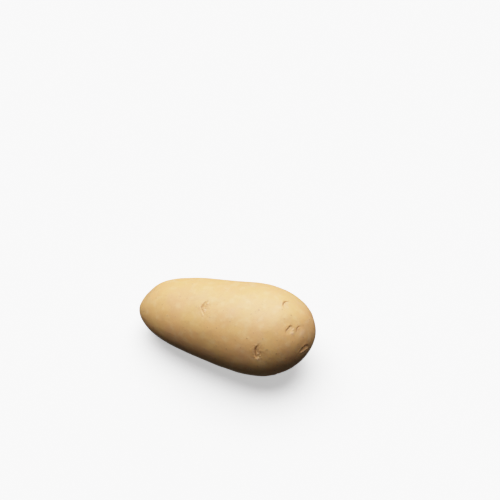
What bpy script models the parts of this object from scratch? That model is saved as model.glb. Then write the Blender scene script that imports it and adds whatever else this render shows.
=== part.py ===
"""Long oval potato, lying on its flatter side.

Blender 4.5, metres, +Z up. The long axis runs along X: the stem end, where the tuber hung on its
stolon, is at -X, and the rose end, where the eyes crowd together, is at +X. The origin is at the
bottom centre of the bounding box, on the surface that the potato rests on.
"""

import math

import bmesh
import bpy
from mathutils import Vector, noise

MM = 0.001

# Driving dimensions: the bounding box of the finished tuber.
LENGTH = 115 * MM
WIDTH = 60 * MM
HEIGHT = 52 * MM

# Form of the smooth body. A station runs from -1 at the stem end to 1 at the rose end, and an
# angle round the body runs in degrees from the top towards -Y.
STEM_FULLNESS = 3.2  # 2 is an ellipse, more is blunter
ROSE_FULLNESS = 3.0
TAPER = 0.27  # how much wider the rose end is than the middle, as a share
SIDE_BEND = -2.0 * MM  # how far the middle is pushed sideways
ARCH = 0.6 * MM  # how far the middle is arched upwards
STEM_DROP = 6.0 * MM  # how far the thin stem end sinks, as the tuber rolls on to its belly
FLAT_DEPTH = 1.1 * MM  # how much of the belly is pressed flat

# Gentle swells and hollows of the grown tuber: station, angle, how far it spreads, height.
SWELLS = (
    (1.00, 0, 13 * MM, 0.8 * MM),  # nose of the rose end
    (-1.00, 0, 10 * MM, 1.0 * MM),  # nose of the stem end
    (-0.97, 0, 11 * MM, -4.2 * MM),  # flattened face at the stolon scar
    (-1.00, 0, 4.5 * MM, -0.7 * MM),  # the scar's own dimple
    (0.45, 175, 30 * MM, 0.8 * MM),  # full belly
    (0.55, 100, 20 * MM, 0.8 * MM),  # cheek at the front
    (0.35, -95, 22 * MM, 0.8 * MM),  # cheek at the back
    (0.75, -55, 16 * MM, -1.2 * MM),  # flat shoulder of the rose end
    (-0.15, -100, 26 * MM, -0.9 * MM),  # slight waist at the back
)
UNEVEN_SIZE = 34 * MM  # from one slow undulation of the skin to the next
UNEVEN_HEIGHT = 0.55 * MM
UNEVEN_START = Vector((3.7, 1.9, 8.4))

# Eyes: station, angle, width across the brow, depth of the socket. They grow one after another on
# a spiral of about 137 degrees a step, and they come closer together towards the rose end.
EYES = (
    (-0.66, 148, 6.5 * MM, 0.4 * MM),
    (-0.42, -108, 8.0 * MM, 0.6 * MM),
    (-0.10, 27, 9.5 * MM, 0.6 * MM),
    (0.14, 152, 8.0 * MM, 0.6 * MM),
    (0.34, -66, 9.0 * MM, 0.8 * MM),
    (0.59, 72, 9.5 * MM, 1.0 * MM),
    (0.62, -140, 8.5 * MM, 0.8 * MM),
    (0.69, -6, 7.0 * MM, 0.5 * MM),
    (0.76, 137, 7.5 * MM, 0.6 * MM),
    (0.80, -92, 7.5 * MM, 0.8 * MM),
    (0.83, 31, 6.5 * MM, 0.9 * MM),
    (0.902, 24, 6.0 * MM, 0.8 * MM),
    (0.91, 178, 6.0 * MM, 0.7 * MM),
    (0.93, -69, 5.5 * MM, 0.6 * MM),
    (0.972, 80, 5.5 * MM, 0.7 * MM),
)
SOCKET_ASPECT = 0.6  # length of a socket along the body, as a share of its width
BROW_SETBACK = 1.5  # how far the brow lies behind the socket, in socket lengths
BROW_SHARE = 0.3  # height of the brow as a share of the socket's depth

# The mesh: squares along the side of the starting cube, and across each of its ends.
SQUARES_ALONG = 40
SQUARES_ACROSS = 20

SKIN_COLOUR = (0.78, 0.59, 0.34, 1.0)
SKIN_ROUGHNESS = 0.48


def clear_scene():
    for thing in list(bpy.data.objects):
        bpy.data.objects.remove(thing)


def gridded_cube():
    """A cube of side 2 cut into squares, with more of them along X."""
    mesh = bmesh.new()
    bmesh.ops.create_cube(mesh, size=2)
    for axis, squares in enumerate((SQUARES_ALONG, SQUARES_ACROSS, SQUARES_ACROSS)):
        edges = [e for e in mesh.edges if e.verts[0].co[axis] != e.verts[1].co[axis]]
        bmesh.ops.subdivide_edges(mesh, edges=edges, cuts=squares - 1, use_grid_fill=True)
    return mesh


def on_sphere(p):
    """The point of the unit sphere for a point of the cube, spread evenly over the cube's faces."""
    xx, yy, zz = p.x * p.x, p.y * p.y, p.z * p.z
    return Vector((
        p.x * math.sqrt(1 - yy / 2 - zz / 2 + yy * zz / 3),
        p.y * math.sqrt(1 - zz / 2 - xx / 2 + zz * xx / 3),
        p.z * math.sqrt(1 - xx / 2 - yy / 2 + xx * yy / 3),
    ))


def on_body(u):
    """The point of the smooth, tapered and bent body for a point of the unit sphere."""
    station = max(-1.0, min(1.0, u.x))
    fullness = STEM_FULLNESS if station < 0 else ROSE_FULLNESS
    ring = 1 - station * station
    if ring > 1e-6:
        girth = math.sqrt((1 - abs(station) ** fullness) / ring)
    else:
        girth = math.sqrt(fullness / 2)
    girth *= 1 + TAPER * station
    return Vector((
        station * LENGTH / 2,
        u.y * girth * WIDTH / 2 + SIDE_BEND * ring,
        u.z * girth * HEIGHT / 2 + ARCH * ring + STEM_DROP * station,
    ))


def place(station, angle):
    """The point of the smooth body at a station and an angle."""
    ring = math.sqrt(1 - station * station)
    turn = math.radians(angle)
    return on_body(Vector((station, -ring * math.sin(turn), ring * math.cos(turn))))


def swell_height(p):
    """How far the grown tuber stands out from the smooth body at p."""
    height = UNEVEN_HEIGHT * noise.noise(p / UNEVEN_SIZE + UNEVEN_START)
    for station, angle, spread, stands_out in SWELLS:
        distance = (p - place(station, angle)).length
        height += stands_out * math.exp(-((distance / spread) ** 2))
    return height


def eye_height(offset, outward, width, depth):
    """How far the skin stands out at an offset from the middle of an eye: socket, then brow."""
    to_rose = (Vector((1, 0, 0)) - outward * outward.x).normalized()
    across = outward.cross(to_rose)
    along = offset.dot(to_rose) / (SOCKET_ASPECT * width / 2)
    sideways = offset.dot(across) / (width / 2)
    socket = math.exp(-(along**2) - sideways**2)
    brow = math.exp(-((along + BROW_SETBACK) ** 2) - sideways**2)
    return depth * (BROW_SHARE * brow - socket)


def push_out(mesh, heights):
    """Moves each point of the mesh along its own normal by its height."""
    for v, normal, height in zip(mesh.verts, [v.normal.copy() for v in mesh.verts], heights):
        v.co += normal * height
    mesh.normal_update()


def carve_eyes(mesh):
    heights = [0.0] * len(mesh.verts)
    for station, angle, width, depth in EYES:
        target = place(station, angle)
        middle = min(mesh.verts, key=lambda v: (v.co - target).length_squared)
        for i, v in enumerate(mesh.verts):
            offset = v.co - middle.co
            if offset.length < 2 * width:
                heights[i] += eye_height(offset, middle.normal, width, depth)
    push_out(mesh, heights)


def press_belly(mesh):
    """Presses the lowest part of the belly flat: this is the small spot that the potato rests on."""
    floor = min(v.co.z for v in mesh.verts) + FLAT_DEPTH
    for v in mesh.verts:
        v.co.z = max(v.co.z, floor)


def fit_to_size(mesh):
    """Scales to the driving dimensions, with the belly at z = 0 and the middle at x = y = 0."""
    for axis, size in enumerate((LENGTH, WIDTH, HEIGHT)):
        values = [v.co[axis] for v in mesh.verts]
        low, high = min(values), max(values)
        zero = low if axis == 2 else (low + high) / 2
        for v in mesh.verts:
            v.co[axis] = (v.co[axis] - zero) * size / (high - low)


def tuber():
    """The grown shape: the cube's points moved to the body, then swells, eyes and resting spot."""
    mesh = gridded_cube()
    for v in mesh.verts:
        v.co = on_body(on_sphere(v.co))
    mesh.normal_update()
    push_out(mesh, [swell_height(v.co) for v in mesh.verts])
    carve_eyes(mesh)
    press_belly(mesh)
    fit_to_size(mesh)
    return mesh


def skin_material():
    material = bpy.data.materials.new("potato_skin")
    material.use_nodes = True
    shader = material.node_tree.nodes["Principled BSDF"]
    shader.inputs["Base Color"].default_value = SKIN_COLOUR
    shader.inputs["Roughness"].default_value = SKIN_ROUGHNESS
    shader.inputs["Metallic"].default_value = 0.0
    return material


def make_potato():
    """The whole tuber grew as one piece, so it is one solid."""
    grown = tuber()
    mesh = bpy.data.meshes.new("potato")
    grown.to_mesh(mesh)
    grown.free()
    mesh.shade_smooth()
    mesh.materials.append(skin_material())
    potato = bpy.data.objects.new("potato", mesh)
    bpy.context.collection.objects.link(potato)


clear_scene()
make_potato()
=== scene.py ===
# %% [markdown]
# # A long oval potato
#
# The object is one washed table potato with a thin, pale cream skin. It has a thin stem end, where
# it hung on its stolon, a blunt rose end, where its eyes crowd together, and a small spot on its
# belly that it rests on.
#
# The solid frame comes packed, at its real size, and stays as it is. It is a coarse, faceted body,
# right in form but not in surface, so this lesson grows a fine skin over it. It mixes the skin's
# colour and shine first, then makes an even net of small faces, carves the eyes and the scar into
# it and scatters the lenticels over it. The studio and the camera come last.

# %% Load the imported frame
import math

import bmesh
import bpy
import numpy as np
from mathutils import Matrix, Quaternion, Vector, noise
from mathutils.bvhtree import BVHTree


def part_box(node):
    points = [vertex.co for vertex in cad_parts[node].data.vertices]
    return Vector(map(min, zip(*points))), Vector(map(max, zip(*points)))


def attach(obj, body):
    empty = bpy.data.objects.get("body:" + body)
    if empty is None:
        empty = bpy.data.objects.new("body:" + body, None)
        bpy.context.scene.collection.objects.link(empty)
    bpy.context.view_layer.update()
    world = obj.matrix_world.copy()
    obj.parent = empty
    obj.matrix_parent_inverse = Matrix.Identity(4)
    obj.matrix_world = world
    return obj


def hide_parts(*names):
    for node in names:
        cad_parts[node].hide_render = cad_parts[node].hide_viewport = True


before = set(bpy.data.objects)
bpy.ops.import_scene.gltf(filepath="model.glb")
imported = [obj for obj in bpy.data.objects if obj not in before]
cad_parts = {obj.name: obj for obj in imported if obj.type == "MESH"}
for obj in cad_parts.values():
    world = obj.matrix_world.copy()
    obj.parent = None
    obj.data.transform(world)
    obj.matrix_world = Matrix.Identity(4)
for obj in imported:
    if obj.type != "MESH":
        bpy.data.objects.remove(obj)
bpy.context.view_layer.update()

MM = 0.001
low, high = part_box("potato")
middle = (low + high) / 2
half_size = (high - low) / 2
print("frame box in mm:", [round(2 * x / MM, 1) for x in half_size])

# %% [markdown]
# ## A helper for node trees
#
# Both the shape and the finish are built from node trees. One small function adds a node: its
# settings are the keyword arguments, and its inputs are given as a dictionary of numbers or of
# other nodes' outputs. Every tree below is written with it.

# %% Add one node
def add(tree, kind, inputs=None, **settings):
    node = tree.nodes.new(kind)
    for name, value in settings.items():
        setattr(node, name, value)
    for socket, value in (inputs or {}).items():
        if isinstance(value, bpy.types.NodeSocket):
            tree.links.new(value, node.inputs[socket])
        else:
            node.inputs[socket].default_value = value
    return node


# %% Start a Geometry Nodes tree with named inputs
def geometry_tree(name, inputs):
    tree = bpy.data.node_groups.new(name, "GeometryNodeTree")
    tree.interface.new_socket("Geometry", in_out="INPUT", socket_type="NodeSocketGeometry")
    tree.interface.new_socket("Geometry", in_out="OUTPUT", socket_type="NodeSocketGeometry")
    for label, kind in inputs.items():
        tree.interface.new_socket(label, in_out="INPUT", socket_type="NodeSocket" + kind)
    return tree, add(tree, "NodeGroupInput").outputs


# %% Run a tree on a mesh and keep the result as a plain mesh
def run_tree(tree, mesh, values):
    holder = bpy.data.objects.new(tree.name, mesh)
    bpy.context.collection.objects.link(holder)
    modifier = holder.modifiers.new(tree.name, "NODES")
    modifier.node_group = tree
    for socket in tree.interface.items_tree:
        if socket.in_out == "INPUT" and socket.name in values:
            modifier[socket.identifier] = values[socket.name]
    graph = bpy.context.evaluated_depsgraph_get()
    result = bpy.data.meshes.new_from_object(
        holder.evaluated_get(graph), preserve_all_data_layers=True, depsgraph=graph
    )
    bpy.data.objects.remove(holder)
    print(tree.name, "made", len(result.vertices), "points and", len(result.polygons), "faces")
    return result


# %% [markdown]
# ## The finish: potato periderm
#
# A potato's skin is a periderm: a few layers of cork cells, together about 0.1 mm thick, over pale
# yellow flesh. Washed and dry, it has a soft satin shine and no clear reflections. Light goes a
# little way in, which softens and warms the shadows in the eyes.
#
# The colour could be painted on an image, but noise in the skin's own coordinates has no seams and
# is sharp at any distance. Its scales come from the real skin: broad patches about two centimetres
# wide where it is yellower or pinker, paler clouds of five millimetres, a russet of about one, and
# a faint net of cork lines two or three millimetres apart. The eyes, buds, lenticels and the scar
# follow attributes that the mesh steps below store on the points of the skin, so colour and relief
# can't drift apart.

# %% Turn a hex colour to linear light
def linear(hex_colour):
    channels = [int(hex_colour[i:i + 2], 16) / 255 for i in (1, 3, 5)]
    return [c / 12.92 if c <= 0.04045 else ((c + 0.055) / 1.055) ** 2.4 for c in channels] + [1.0]


# %% Periderm: the material and its patterns
skin_material = bpy.data.materials.new("washed_potato_periderm")
skin_material.use_nodes = True
skin_tree = skin_material.node_tree
skin_shader = skin_tree.nodes["Principled BSDF"]
skin_at = add(skin_tree, "ShaderNodeTexCoord").outputs["Object"]


def pattern(size, detail, start, end):
    """Where noise of a real size in metres goes from start to end, as a share from 0 to 1."""
    clouds = add(skin_tree, "ShaderNodeTexNoise",
                 {"Vector": skin_at, "Scale": 1 / size, "Detail": detail})
    return add(skin_tree, "ShaderNodeMapRange",
               {"Value": clouds.outputs["Fac"], "From Min": start, "From Max": end},
               interpolation_type="SMOOTHSTEP").outputs["Result"]


COLOUR_A, COLOUR_B, COLOUR_OUT = 6, 7, 2  # where a Mix node keeps its colour sockets


def tinted(colour, tint, share, strength):
    """A colour mixed with a hex tint, by a share that varies times a strength that doesn't."""
    amount = add(skin_tree, "ShaderNodeMath", {0: share, 1: strength}, operation="MULTIPLY")
    mix = add(skin_tree, "ShaderNodeMix",
              {0: amount.outputs[0], COLOUR_A: colour, COLOUR_B: linear(tint)}, data_type="RGBA")
    return mix.outputs[COLOUR_OUT]


print("material:", skin_material.name)

# %% Periderm: its broad colour, a cream that is yellower, pinker, paler or browner in places
ground = add(skin_tree, "ShaderNodeRGB").outputs[0]
ground.default_value = linear("#d19b61")
colour = tinted(ground, "#d0a161", pattern(21 * MM, 2, 0.42, 0.66), 0.65)
colour = tinted(colour, "#cb966b", pattern(15 * MM, 3, 0.48, 0.70), 0.4)
colour = tinted(colour, "#dbb583", pattern(5 * MM, 3, 0.50, 0.68), 0.3)
colour = tinted(colour, "#b5824c", pattern(1.3 * MM, 4, 0.52, 0.74), 0.25)
print("broad colour:", len(skin_tree.nodes), "nodes so far")

# %% Periderm: a faint net of cork lines, where the skin stretched as the tuber swelled
CELL = 2.6 * MM
LINE = 0.09  # how wide a line is, as a share of a cell
BENDING = 1.5 * MM
bends = add(skin_tree, "ShaderNodeTexNoise",
            {"Vector": skin_at, "Scale": 1 / (3 * MM), "Detail": 2})
bent = add(skin_tree, "ShaderNodeVectorMath",
           {0: bends.outputs["Color"], 1: (BENDING,) * 3, 2: skin_at}, operation="MULTIPLY_ADD")
cells = add(skin_tree, "ShaderNodeTexVoronoi",
            {"Vector": bent.outputs[0], "Scale": 1 / CELL}, feature="DISTANCE_TO_EDGE")
lines = add(skin_tree, "ShaderNodeMapRange",
            {"Value": cells.outputs["Distance"], "From Min": LINE, "From Max": 0.0},
            interpolation_type="SMOOTHSTEP")
net = add(skin_tree, "ShaderNodeMath",
          {0: lines.outputs["Result"], 1: pattern(12 * MM, 2, 0.42, 0.62)},
          operation="MULTIPLY").outputs[0]
colour = tinted(colour, "#b98a58", net, 0.3)
print("cork lines:", round(LINE * CELL / MM, 2), "mm wide, round cells of", CELL / MM, "mm")

# %% Periderm: read what the mesh steps below store on the points of the skin
painted = {name: add(skin_tree, "ShaderNodeAttribute", attribute_name=name).outputs["Fac"]
           for name in ("lenticel_radius", "socket", "bud_and_lip_highlight", "crease", "cork")}
lenticel = add(skin_tree, "ShaderNodeAttribute", attribute_name="lenticel_middle")
print("attributes:", ", ".join(painted), "and lenticel_middle")

# %% Periderm: lenticels, each a cork disc with a darker rim, some plain and some hardly there
from_middle = add(skin_tree, "ShaderNodeVectorMath",
                  {0: skin_at, 1: lenticel.outputs["Vector"]}, operation="DISTANCE")
radii = add(skin_tree, "ShaderNodeMath",
            {0: from_middle.outputs["Value"], 1: painted["lenticel_radius"]}, operation="DIVIDE")
frays = add(skin_tree, "ShaderNodeTexNoise",
            {"Vector": skin_at, "Scale": 1 / (0.6 * MM), "Detail": 2})
fraying = add(skin_tree, "ShaderNodeMapRange",
              {"Value": frays.outputs["Fac"], "To Min": 0.6, "To Max": 1.5})
frayed = add(skin_tree, "ShaderNodeMath", {0: radii.outputs[0], 1: fraying.outputs[0]},
             operation="MULTIPLY")
shares = []
for rim, full, somewhere in ((1.1, 0.7, pattern(6 * MM, 1, 0.30, 0.62)),
                             (0.6, 0.3, pattern(7 * MM, 1, 0.46, 0.54))):
    within = add(skin_tree, "ShaderNodeMapRange",
                 {"Value": frayed.outputs[0], "From Min": rim, "From Max": full},
                 interpolation_type="SMOOTHSTEP")
    shares.append(add(skin_tree, "ShaderNodeMath", {0: within.outputs["Result"], 1: somewhere},
                      operation="MULTIPLY").outputs[0])
disc, core = shares
colour = tinted(colour, "#6f4a2c", disc, 0.45)
colour = tinted(colour, "#d3ad7c", core, 0.5)
print("lenticels:", len(skin_tree.nodes), "nodes so far")

# %% Periderm: eyes, with soil and painted shade in their creases, and the scar of dark cracked cork
colour = tinted(colour, "#b98457", painted["socket"], 0.4)
# Buds are paler; along the last eye's lip this pale paint is partly a painted highlight.
colour = tinted(colour, "#dcb088", painted["bud_and_lip_highlight"], 0.55)
# Dark brown in the creases: partly soil, partly painted shade under the lip, darker in deeper creases.
colour = tinted(colour, "#5a3a20", painted["crease"], 0.8)
cork = add(skin_tree, "ShaderNodeMath",
           {0: painted["cork"], 1: pattern(0.9 * MM, 4, 0.35, 0.6), 2: painted["cork"]},
           operation="MULTIPLY_ADD", use_clamp=True).outputs[0]
colour = tinted(colour, "#563d29", cork, 0.85)
skin_tree.links.new(colour, skin_shader.inputs["Base Color"])
print("eyes and scar:", len(skin_tree.nodes), "nodes so far")

# %% Periderm: shine, depth and grain
skin_shader.inputs["IOR"].default_value = 1.45
skin_shader.inputs["Subsurface Weight"].default_value = 0.12
skin_shader.inputs["Subsurface Radius"].default_value = (1.0, 0.5, 0.2)
skin_shader.inputs["Subsurface Scale"].default_value = 2 * MM
rough = add(skin_tree, "ShaderNodeMapRange",
            {"Value": pattern(4 * MM, 3, 0.3, 0.7), "To Min": 0.44, "To Max": 0.54})
skin_tree.links.new(rough.outputs["Result"], skin_shader.inputs["Roughness"])
# The real grain, of cork cells under 0.05 mm, is too fine to show, so it is drawn ten times as wide.
grain = add(skin_tree, "ShaderNodeTexNoise",
            {"Vector": skin_at, "Scale": 1 / (0.5 * MM), "Detail": 3})
with_net = add(skin_tree, "ShaderNodeMath",
               {0: net, 1: 0.4, 2: grain.outputs["Fac"]}, operation="MULTIPLY_ADD")
with_discs = add(skin_tree, "ShaderNodeMath",
                 {0: disc, 1: 1.5, 2: with_net.outputs[0]}, operation="MULTIPLY_ADD")
bump = add(skin_tree, "ShaderNodeBump",
           {"Height": with_discs.outputs[0], "Strength": 0.5, "Distance": 0.05 * MM})
skin_tree.links.new(bump.outputs["Normal"], skin_shader.inputs["Normal"])
print("finish:", skin_material.name, "with", len(skin_tree.nodes), "nodes")

# %% [markdown]
# ## The form: an even net over the frame
#
# The frame's facets are about 3 mm long, and a skin with eyes needs faces of well under a
# millimetre. Subdividing the facets would keep their edges as creases. So the form starts from the
# other side: a cube of small squares is blown up to a ball, stretched to the frame's size and
# dropped on to the frame's surface, and then smoothed until no facet shows. That follows a rule,
# so Geometry Nodes make it, and the size of the squares is one number.

# %% Form: the tree
form, given = geometry_tree("potato_form", {
    "Squares along": "Int", "Squares across": "Int", "Half size": "Vector", "Middle": "Vector",
    "Smoothing": "Int", "Unevenness size": "Float", "Unevenness height": "Float"})
along_points = add(form, "FunctionNodeIntegerMath", {0: given["Squares along"], 1: 1})
across_points = add(form, "FunctionNodeIntegerMath", {0: given["Squares across"], 1: 1})
cube = add(form, "GeometryNodeMeshCube", {
    "Size": (2, 2, 2), "Vertices X": along_points.outputs[0],
    "Vertices Y": across_points.outputs[0], "Vertices Z": across_points.outputs[0]})
at = add(form, "GeometryNodeInputPosition").outputs[0]
# Turning each coordinate to the tangent of an angle spreads the squares evenly over the ball.
angle = add(form, "ShaderNodeVectorMath", {0: at, "Scale": math.pi / 4}, operation="SCALE")
tangent = add(form, "ShaderNodeVectorMath", {0: angle.outputs[0]}, operation="TANGENT")
ball = add(form, "ShaderNodeVectorMath", {0: tangent.outputs[0]}, operation="NORMALIZE")
stretched = add(form, "ShaderNodeVectorMath",
                {0: ball.outputs[0], 1: given["Half size"], 2: given["Middle"]},
                operation="MULTIPLY_ADD")
dropped = add(form, "GeometryNodeSampleNearestSurface",
              {"Mesh": given["Geometry"], "Value": at, "Sample Position": stretched.outputs[0]},
              data_type="FLOAT_VECTOR")
on_frame = add(form, "GeometryNodeSetPosition",
               {"Geometry": cube.outputs["Mesh"], "Position": dropped.outputs[0]})
# Smoothing alone would shrink the tuber, most of all at its thin end. What each round of it takes
# away is smoothed by itself and given back, which leaves the form and loses only the facets.
SMOOTHING_ROUNDS = 3
left = at
fair = (0, 0, 0)
for smoothing_round in range(SMOOTHING_ROUNDS):
    soft = add(form, "GeometryNodeBlurAttribute",
               {"Value": left, "Iterations": given["Smoothing"]},
               data_type="FLOAT_VECTOR").outputs[0]
    left = add(form, "ShaderNodeVectorMath", {0: left, 1: soft}, operation="SUBTRACT").outputs[0]
    fair = add(form, "ShaderNodeVectorMath", {0: fair, 1: soft}, operation="ADD").outputs[0]
smooth = add(form, "GeometryNodeSetPosition",
             {"Geometry": on_frame.outputs[0], "Position": fair})
# Slow unevenness: no grown skin is perfectly fair.
per_size = add(form, "ShaderNodeMath", {0: 1.0, 1: given["Unevenness size"]}, operation="DIVIDE")
waves = add(form, "ShaderNodeTexNoise",
            {"Vector": at, "Scale": per_size.outputs[0], "Detail": 3.0, "Roughness": 0.48})
signed = add(form, "ShaderNodeMath", {0: waves.outputs["Fac"], 1: 0.5}, operation="SUBTRACT")
height = add(form, "ShaderNodeMath", {0: signed.outputs[0], 1: given["Unevenness height"]},
             operation="MULTIPLY")
normal = add(form, "GeometryNodeInputNormal").outputs[0]
push = add(form, "ShaderNodeVectorMath", {0: normal, "Scale": height.outputs[0]},
           operation="SCALE")
uneven = add(form, "GeometryNodeSetPosition",
             {"Geometry": smooth.outputs[0], "Offset": push.outputs[0]})
shaded = add(form, "GeometryNodeSetShadeSmooth", {"Geometry": uneven.outputs[0]})
whole = add(form, "GeometryNodeRealizeInstances", {"Geometry": shaded.outputs[0]})
finished = add(form, "GeometryNodeSetMaterial",
               {"Geometry": whole.outputs[0], "Material": skin_material})
add(form, "NodeGroupOutput", {"Geometry": finished.outputs[0]})
print("form:", len(form.nodes), "nodes")

# %% Form: grow it over a copy of the frame
SQUARE = 0.6 * MM
SLENDERNESS = 1.75  # how many squares run along the body for each one across
girth = math.pi * (half_size.y + half_size.z)
squares_across = round(girth / 4 / SQUARE)
squares_along = round(SLENDERNESS * squares_across)
frame_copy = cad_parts["potato"].data.copy()
skin_mesh = run_tree(form, frame_copy, {
    "Squares along": squares_along, "Squares across": squares_across,
    "Half size": half_size, "Middle": middle, "Smoothing": 40,
    "Unevenness size": 9 * MM, "Unevenness height": 0.5 * MM})
print("squares:", squares_along, "by", squares_across, "by", squares_across)

# %% [markdown]
# ## Where the eyes are
#
# A potato is a swollen stem, and an eye is a cluster of buds where a tiny leaf once grew. Its brow
# is that leaf's scar: a crescent crease with a raised lip on the stem side. The buds sit inside it,
# on the rose side. Eyes come one after another on a spiral, about 137 degrees a step, closer and
# closer towards the rose end.
#
# An eye's place is given as a station, from -1 at the stem end to 1 at the rose end, and an angle
# round the body from the top towards the front. A ray from the body's own middle line out to the
# frame's surface turns that into a point.

# %% The eyes, in or just beside the shallow sockets that the frame has
# Each row has an eye's station and angle, its brow's width and its crease's depth in mm, its twist
# in degrees, and its buds: how far forward and how far across each one is, and its radius, in mm.
EYES = (
    (-0.67, 150, 6.0, 0.35, 8, [(0.2, 0.0, 0.6)]),
    (-0.435, -106, 7.0, 0.45, -10, [(0.2, 0.0, 0.6)]),
    (-0.12, 25, 9.0, 0.50, 8, [(0.2, -2.2, 0.6), (0.9, 2.2, 0.6)]),
    (0.105, 150, 7.0, 0.45, 6, [(0.2, 0.0, 0.6)]),
    (0.31, -64, 8.0, 0.60, -6, [(0.2, -2.0, 0.6), (0.8, 2.0, 0.6)]),
    (0.575, 67, 9.5, 0.65, 5, [(-0.1, -1.5, 0.6), (0.1, -4.5, 0.7)]),
    (0.58, -138, 7.5, 0.60, 10, [(0.2, -1.9, 0.6), (0.8, 0.0, 0.6), (0.2, 1.9, 0.6)]),
    (0.67, -8, 6.5, 0.55, -9, []),
    (0.74, 136, 6.5, 0.55, -8, [(0.1, 0.0, 0.6)]),
    (0.79, -88, 6.5, 0.60, 5, [(0.1, 0.0, 0.6)]),
    (0.80, 28, 5.5, 0.50, -14, [(2.7, -0.5, 1.0), (1.6, 1.7, 0.5)]),
    (0.87, 22, 4.5, 0.35, -16, [(3.2, -0.7, 1.8)]),
    (0.88, -178, 5.0, 0.50, 0, [(0.1, 0.0, 0.6)]),
    (0.89, -66, 4.5, 0.50, -12, [(0.1, 0.0, 0.6)]),
    # The last eye's four buds make a raised row along its lip, painted pale: partly bud colour, partly
    # a painted highlight where the lip catches the light.
    (0.957, 75, 7.0, 0.70, -42, [(1.5, -2.4, 0.5), (1.2, -0.8, 0.6), (1.1, 0.8, 0.6), (1.2, 2.4, 0.5)]),
)
print(len(EYES), "eyes with", sum(len(buds) for *_, buds in EYES), "buds")

# %% Find a place on the frame's surface
frame_points = np.array([v.co for v in frame_copy.vertices])
frame_tree = BVHTree.FromPolygons([v.co for v in frame_copy.vertices],
                                  [p.vertices for p in frame_copy.polygons])


SLAB = 3 * MM  # half the thickness of the slice whose middle is taken as the body's own


def place(station, angle):
    """The point of the frame at a station and an angle, and the outward direction there."""
    x = middle.x + station * half_size.x
    slab = frame_points[abs(frame_points[:, 0] - x) < SLAB]
    inside = Vector((x, *(slab[:, 1:].min(0) + slab[:, 1:].max(0)) / 2))
    turn = math.radians(angle)
    outwards = Vector((0, -math.sin(turn) * half_size.y, math.cos(turn) * half_size.z))
    point, outward, _, _ = frame_tree.ray_cast(inside, outwards.normalized())
    return point, outward


TIP = 1.5 * MM  # how far the flattened face of the stem end reaches in from the box
eye_places = [place(station, angle) for station, angle, *_ in EYES]
tip = frame_points[frame_points[:, 0] < low.x + TIP].mean(0)
scar_point, _, _, _ = frame_tree.find_nearest(tip)
for (station, angle, *_), (point, _) in zip(EYES, eye_places):
    print("eye at", station, angle, "->", [round(c / MM, 1) for c in point], "mm")
print("scar at", [round(c / MM, 1) for c in scar_point], "mm")

# %% [markdown]
# ## Finer squares where there is more to see
#
# A crease is about half a millimetre wide, less than one square, so the squares round each eye and
# round the scar are cut twice more. Cutting the whole skin that fine would take sixteen times the
# faces for nothing.

# %% Refine the net round the eyes and the scar
SCAR_REACH = 3 * MM
MARGINS = (2.2 * MM, 0.6 * MM)  # how far past an eye each of the two cuts goes
centres = [(point, width * MM / 2) for (point, _), (_, _, width, *_) in zip(eye_places, EYES)]
centres.append((scar_point, SCAR_REACH))


def is_near(edge, margin):
    return any(all((end.co - centre).length < reach + margin for end in edge.verts)
               for centre, reach in centres)


fine = bmesh.new()
fine.from_mesh(skin_mesh)
for margin in MARGINS:
    near = [edge for edge in fine.edges if is_near(edge, margin)]
    bmesh.ops.subdivide_edges(fine, edges=near, cuts=1, use_grid_fill=True)
fine.to_mesh(skin_mesh)
fine.free()
print("after refining:", len(skin_mesh.vertices), "points and", len(skin_mesh.polygons), "faces")

# %% [markdown]
# ## Carving the eyes and the scar
#
# A sculptor would cut the crescent, pull up its lip and roll the buds in by hand. Here each of
# those strokes is a short formula in the eye's own directions, towards the rose end and across,
# and the points of the skin move along their normals by the sum. The same formulas say how brown
# a point is, so each stroke is stored as an attribute for the finish.

# %% Read the skin's points and normals as arrays
def read_points(mesh, what):
    values = np.zeros(len(mesh.vertices) * 3, np.float32)
    if what == "normal":
        mesh.vertex_normals.foreach_get("vector", values)
    else:
        mesh.vertices.foreach_get(what, values)
    return values.reshape(-1, 3).astype(float)


points = read_points(skin_mesh, "co")
normals = read_points(skin_mesh, "normal")
rise = np.zeros(len(points))
paint = {name: np.zeros(len(points)) for name in ("crease", "bud_and_lip_highlight", "socket", "cork")}
print("skin:", len(points), "points to move and paint")


# %% The soft edge of every stroke
def bell(distance, width):
    """1 at no distance, about a third at one width, and hardly anything at two."""
    return np.exp(-((distance / width) ** 2))


# %% An eye's own directions
def eye_axes(outward, twist):
    """Along the skin at an eye: towards the rose end, and across."""
    rose = Vector((1, 0, 0)) - outward * outward.x
    rose.rotate(Quaternion(outward, math.radians(twist)))
    rose.normalize()
    return np.array(rose), np.array(outward.cross(rose))


# %% A hand that isn't quite steady
SHAKE = 3
noise.seed_set(SHAKE)  # without a seed, the noise vectors would differ from one run to the next
print("hand: seed", SHAKE)


def wobble(places, size, reach):
    """A smooth random shift for each place, so that no stroke looks drawn with a compass."""
    return reach * np.array([noise.noise_vector(Vector(p) / size) for p in places])


# %% Wrinkles
def wrinkles(places, size):
    """Heights between about -1 and 1, for wrinkles of a real size with finer ones on them."""
    fade, finer, layers = 0.8, 2.2, 3
    return np.array([noise.fractal(Vector(p) / size, fade, finer, layers) for p in places])


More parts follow.
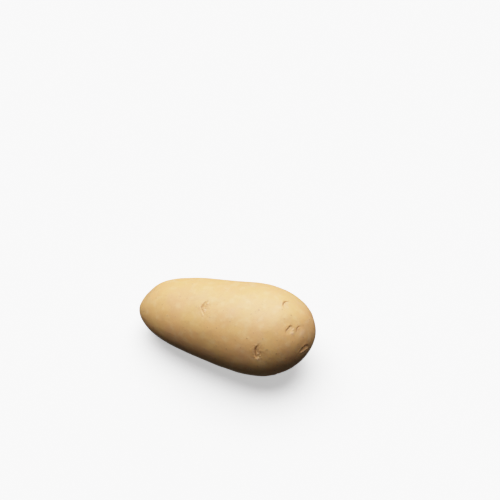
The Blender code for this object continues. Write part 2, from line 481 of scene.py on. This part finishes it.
# %% The strokes of an eye
SAG = 0.22  # how far a brow bows towards the stem end, as a share of its width
FADING = 1.6  # how soon a brow thins out towards its two ends
LIP = 1.3 * MM
LIP_HEIGHT = 0.35  # as a share of the crease's depth
UNDER_LIP = 0.4 * MM  # the crease's steep side
CREASE = 0.5 * MM
SHOULDER = 1.9 * MM  # the crease's gentle side, where the buds sit
SHOULDER_SHARE = 0.55  # how much of that side is shoulder, and not crease
BUD_HEIGHT = 0.5  # as a share of the crease's depth
BUD_BREADTH = 1.5  # across, as a share of its radius
SOCKET_LENGTH = 0.7  # along the body, as a share of its breadth
WRINKLE = 1.2 * MM
WRINKLED = 0.26 * MM  # how high the wrinkles in the socket are
SOIL_AND_SHADE_DEPTH = 0.8 * MM  # a crease this deep gets the most soil and painted shade
print("a crease and its shoulder:", round((UNDER_LIP + SHOULDER) / MM, 1), "mm from lip to buds")


# %% One eye
def carve_eye(point, outward, width, depth, twist, buds):
    rose, across = eye_axes(outward, twist)
    close = np.flatnonzero(((points - point) ** 2).sum(1) < (1.5 * width) ** 2)
    offset = points[close] - point + wobble(points[close], 2.2 * MM, 0.45 * MM)
    along, sideways = offset @ rose, offset @ across
    share = abs(2 * sideways / width)
    fade = np.exp(-FADING * share**3)
    past = along + SAG * width * (1 - share**2)  # distance past the brow, towards the rose
    gentle = (1 - SHOULDER_SHARE) * bell(past, CREASE) + SHOULDER_SHARE * bell(past, SHOULDER)
    crease = np.where(past < 0, bell(past, UNDER_LIP), gentle)
    socket = bell(np.hypot((along + 0.1 * width) / SOCKET_LENGTH, sideways), 0.5 * width)
    rough = wrinkles(points[close], WRINKLE)
    relief = fade * (LIP_HEIGHT * bell(past + LIP, LIP) - crease)
    bud_and_lip_highlight_paint = np.zeros(len(close))
    for forward, aside, radius in buds:
        from_bud = np.hypot(along - forward * MM, (sideways - aside * MM) / BUD_BREADTH)
        relief += BUD_HEIGHT * bell(from_bud, radius * MM)
        bud_and_lip_highlight_paint = np.maximum(bud_and_lip_highlight_paint, bell(from_bud, radius * MM))
    rise[close] += depth * relief + WRINKLED * socket * rough
    # Soil and painted shade stay just under the lip, more of them in a deep crease, and in patches.
    soil_and_shade = min(1, depth / SOIL_AND_SHADE_DEPTH) * np.clip(0.75 + 0.6 * rough, 0.2, 1)
    brow_soil_and_shade = soil_and_shade * fade * bell(past - 0.1 * MM, 0.3 * MM)
    for name, stroke in (("crease", brow_soil_and_shade), ("bud_and_lip_highlight", bud_and_lip_highlight_paint), ("socket", socket)):
        paint[name][close] = np.maximum(paint[name][close], stroke)


for (point, outward), (_, _, width, depth, twist, buds) in zip(eye_places, EYES):
    carve_eye(np.array(point), outward, width * MM, depth * MM, twist, buds)
    print("carved an eye", width, "mm wide and", depth, "mm deep")

# %% The stolon scar: a sunken spot of rough cork, puckered round its edge, with a broken stub
SCAR = 2.6 * MM
PUCKERS = 9
SINK, STUB, PUCKER = 0.4, 0.25, 0.07  # how deep or high each is, in mm
SKIN_ROUGH, CORK_ROUGH = 0.03, 0.12  # how high the wrinkles are, in mm
middle_of_scar = np.array(scar_point)
close = np.flatnonzero(((points - middle_of_scar) ** 2).sum(1) < (4 * SCAR) ** 2)
offset = points[close] - middle_of_scar + wobble(points[close], 2 * MM, 0.7 * MM)
from_scar = np.linalg.norm(offset, axis=1)
turn = np.arctan2(offset[:, 2], offset[:, 1])
rough = wrinkles(points[close], 0.8 * MM)
puckered = np.cos(PUCKERS * turn + 3 * rough) * bell(from_scar - SCAR, 0.35 * SCAR)
sunken = bell(from_scar, 0.8 * SCAR)
stub = bell(from_scar, 0.25 * SCAR)
wrinkled = (SKIN_ROUGH + CORK_ROUGH * sunken) * rough
rise[close] += MM * (STUB * stub - SINK * sunken + wrinkled + PUCKER * puckered)
paint["cork"][close] = np.maximum(bell(from_scar, 0.75 * SCAR), 0.12 * bell(from_scar, 2 * SCAR))
print("scar:", 2 * SCAR / MM, "mm across, on", len(close), "points")

# %% Move the points and store the paint
points += normals * rise[:, None]
skin_mesh.vertices.foreach_set("co", points.astype(np.float32).ravel())
for name, values in paint.items():
    layer = skin_mesh.attributes.new(name, "FLOAT", "POINT")
    layer.data.foreach_set("value", values.astype(np.float32))
skin_mesh.update()
print("deepest crease:", round(-rise.min() / MM, 2), "mm, highest lip:", round(rise.max() / MM, 2))

# %% [markdown]
# ## Lenticels
#
# The skin breathes through lenticels: corky pores about a millimetre wide, a few to each square
# centimetre. They are too many to place by hand and too irregular for a grid. Points scattered
# with a smallest distance between them have that look, so a second tree scatters them. It raises
# the skin a little at each, and stores on every point of the skin where the nearest lenticel's
# middle is and how large it is. The finish measures its distance from that middle, so a lenticel
# is drawn sharp even where the squares are wider than it is.

# %% Lenticels: the tree
lenticels, given = geometry_tree("lenticels", {
    "Smallest distance": "Float", "Density": "Float", "Smallest radius": "Float",
    "Largest radius": "Float", "Height": "Float", "Seed": "Int"})
scattered = add(lenticels, "GeometryNodeDistributePointsOnFaces", {
    "Mesh": given["Geometry"], "Distance Min": given["Smallest distance"],
    "Density Max": given["Density"], "Seed": given["Seed"]},
    distribute_method="POISSON").outputs["Points"]
at = add(lenticels, "GeometryNodeInputPosition").outputs[0]
nearest = add(lenticels, "GeometryNodeSampleNearest",
              {"Geometry": scattered, "Sample Position": at}).outputs[0]
middle_there = add(lenticels, "GeometryNodeSampleIndex",
                   {"Geometry": scattered, "Value": at, "Index": nearest},
                   data_type="FLOAT_VECTOR").outputs[0]
random_radius = add(lenticels, "FunctionNodeRandomValue", {
    2: given["Smallest radius"], 3: given["Largest radius"], "Seed": given["Seed"]},
    data_type="FLOAT").outputs[1]
radius_there = add(lenticels, "GeometryNodeSampleIndex",
                   {"Geometry": scattered, "Value": random_radius, "Index": nearest},
                   data_type="FLOAT").outputs[0]
distance = add(lenticels, "ShaderNodeVectorMath", {0: at, 1: middle_there},
               operation="DISTANCE").outputs["Value"]
share = add(lenticels, "ShaderNodeMath", {0: distance, 1: radius_there}, operation="DIVIDE")
nearness = add(lenticels, "ShaderNodeMapRange",
               {"Value": share.outputs[0], "From Min": 1.8, "From Max": 0.0},
               interpolation_type="SMOOTHSTEP")
height = add(lenticels, "ShaderNodeMath", {0: nearness.outputs[0], 1: given["Height"]},
             operation="MULTIPLY")
push = add(lenticels, "ShaderNodeVectorMath",
           {0: add(lenticels, "GeometryNodeInputNormal").outputs[0], "Scale": height.outputs[0]},
           operation="SCALE")
with_middle = add(lenticels, "GeometryNodeStoreNamedAttribute", {
    "Geometry": given["Geometry"], "Name": "lenticel_middle", "Value": middle_there},
    data_type="FLOAT_VECTOR", domain="POINT")
with_radius = add(lenticels, "GeometryNodeStoreNamedAttribute", {
    "Geometry": with_middle.outputs[0], "Name": "lenticel_radius", "Value": radius_there},
    data_type="FLOAT", domain="POINT")
raised = add(lenticels, "GeometryNodeSetPosition",
             {"Geometry": with_radius.outputs[0], "Offset": push.outputs[0]})
# The belly stays on the surface that it rests on: no height is below 0. The tuber is far smaller
# than a metre, so the -1 in the other two directions holds nothing back.
spot = add(lenticels, "ShaderNodeVectorMath", {0: at, 1: (-1, -1, 0)}, operation="MAXIMUM")
resting = add(lenticels, "GeometryNodeSetPosition",
              {"Geometry": raised.outputs[0], "Position": spot.outputs[0]})
whole = add(lenticels, "GeometryNodeRealizeInstances", {"Geometry": resting.outputs[0]})
finished = add(lenticels, "GeometryNodeSetMaterial",
               {"Geometry": whole.outputs[0], "Material": skin_material})
add(lenticels, "NodeGroupOutput", {"Geometry": finished.outputs[0]})
print("lenticels:", len(lenticels.nodes), "nodes")

# %% Lenticels: scatter them over the skin
PER_SQUARE_METRE = 30000.0  # three to each square centimetre, before those too close are dropped
skin_mesh = run_tree(lenticels, skin_mesh, {
    "Smallest distance": 4 * MM, "Density": PER_SQUARE_METRE, "Smallest radius": 0.28 * MM,
    "Largest radius": 0.65 * MM, "Height": 0.05 * MM, "Seed": 7})

# %% The finished skin joins the frame
skin = bpy.data.objects.new("potato_skin", skin_mesh)
bpy.context.collection.objects.link(skin)
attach(skin, "root")
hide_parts("potato")
print("skin:", len(skin_mesh.polygons), "faces, attributes", [a.name for a in skin_mesh.attributes])

# %% [markdown]
# ## The studio
#
# A large soft light hangs over the table, a little behind the tuber and to its left. A second one,
# far weaker and low behind it, draws its upper edge. Almost nothing lights it from below, so it is
# bright on top, falls off evenly down its side and is dark along its lower edge. The floor is
# plain and pale, and it doesn't light the tuber back, as if a black card lay under it.
#
# Area lights would do too, but a sun with a wide angle is as soft, and it is as bright at one end
# of the tuber as at the other.

# %% Floor: matte paper, an even white with no shine, with a glow of its own that lifts the shadow
FLOOR_SIZE = 6.0
floor_mesh = bpy.data.meshes.new("floor")
half = FLOOR_SIZE / 2
corners = [(-half, -half, 0), (half, -half, 0), (half, half, 0), (-half, half, 0)]
floor_mesh.from_pydata(corners, [], [(0, 1, 2, 3)])
floor = bpy.data.objects.new("floor", floor_mesh)
bpy.context.collection.objects.link(floor)
floor_material = bpy.data.materials.new("white_matte_paper")
floor_material.use_nodes = True
floor_shader = floor_material.node_tree.nodes["Principled BSDF"]
floor_shader.inputs["Base Color"].default_value = linear("#dcdcdc")
floor_shader.inputs["Emission Color"].default_value = (1, 1, 1, 1)
floor_shader.inputs["Emission Strength"].default_value = 0.6
floor_shader.inputs["Roughness"].default_value = 1.0
floor_shader.inputs["Specular IOR Level"].default_value = 0.0
floor_mesh.materials.append(floor_material)
floor.visible_diffuse = False
floor.visible_glossy = False
print("floor:", FLOOR_SIZE, "m square")

# %% Light
cloth = bpy.data.lights.new("overhead_cloth", "SUN")
cloth.angle = math.radians(70)
cloth.energy = 8.5
overhead = bpy.data.objects.new("overhead_cloth", cloth)
overhead.rotation_euler = Vector((-0.20, 0.26, 1)).to_track_quat("Z", "Y").to_euler()
bpy.context.collection.objects.link(overhead)
strip = bpy.data.lights.new("back_strip", "SUN")
strip.angle = math.radians(60)
strip.energy = 1.0
behind = bpy.data.objects.new("back_strip", strip)
behind.rotation_euler = Vector((0.1, 1.3, 0.8)).to_track_quat("Z", "Y").to_euler()
bpy.context.collection.objects.link(behind)
print("lights:", overhead.name, cloth.energy, "and", behind.name, strip.energy)

# %% Room: a little light from all round, and behind the floor a white as bright as the lit floor
FLOOR_BRIGHT = 2.5
ROOM_LIGHT = 0.05
world = bpy.data.worlds.new("studio")
world.use_nodes = True
bpy.context.scene.world = world
room = world.node_tree
ray = add(room, "ShaderNodeLightPath")
seen = add(room, "ShaderNodeMix", {
    "Factor": ray.outputs["Is Camera Ray"], 2: ROOM_LIGHT, 3: FLOOR_BRIGHT}, data_type="FLOAT")
background = room.nodes["Background"]
room.links.new(seen.outputs[0], background.inputs["Strength"])
background.inputs["Color"].default_value = (1, 1, 1, 1)
print("room:", ROOM_LIGHT, "seen as", FLOOR_BRIGHT)

# %% [markdown]
# ## The film
#
# A camera's film doesn't clip bright light: it rolls off towards white, and pale colours wash out
# on the way. That is what turns the tan of a lit potato into cream. A curve on the view does the
# same here, with the plain sRGB display left as it is.

# %% Tone curve
BRIGHTEST = 5.0
ROLL_OFF = 1.1
STOPS = (0.01, 0.03, 0.07, 0.13, 0.22, 0.35, 0.55)  # closer together in the dark, where it is steep
view = bpy.context.scene.view_settings
view.view_transform = "Standard"
view.use_curve_mapping = True
film = view.curve_mapping
film.white_level = (BRIGHTEST, BRIGHTEST, BRIGHTEST)
combined = film.curves[3]  # the one for red, green and blue together
for stop in STOPS:
    combined.points.new(stop, 1 - math.exp(-ROLL_OFF * BRIGHTEST * stop))
film.update()
print("tone curve:", len(combined.points), "points, white at", BRIGHTEST)

# %% [markdown]
# ## The camera
#
# It looks down on the tuber from the front, turned a little towards the rose end, and it stands far
# enough away, with a long lens, that the near side isn't swollen. The aim lies beside the tuber and
# behind it, which puts the tuber to the left of the middle of the picture and below it.

# %% Camera
AZIMUTH, ELEVATION = math.radians(22.7), math.radians(43)
DISTANCE = 0.8036
BESIDE, BEYOND = 15.6 * MM, 89.0 * MM  # the aim, to the right of the tuber and behind it
right = Vector((math.cos(AZIMUTH), math.sin(AZIMUTH), 0))
away = Vector((-math.sin(AZIMUTH), math.cos(AZIMUTH), 0))
aim = right * BESIDE + away * BEYOND
back = Vector((0, 0, math.sin(ELEVATION))) - away * math.cos(ELEVATION)
lens = bpy.data.cameras.new("camera")
lens.lens = 85
camera = bpy.data.objects.new("camera", lens)
camera.location = aim + back * DISTANCE
camera.rotation_euler = (-back).to_track_quat("-Z", "Y").to_euler()
bpy.context.collection.objects.link(camera)
bpy.context.scene.camera = camera
print("camera:", lens.lens, "mm lens,", DISTANCE, "m from its aim")
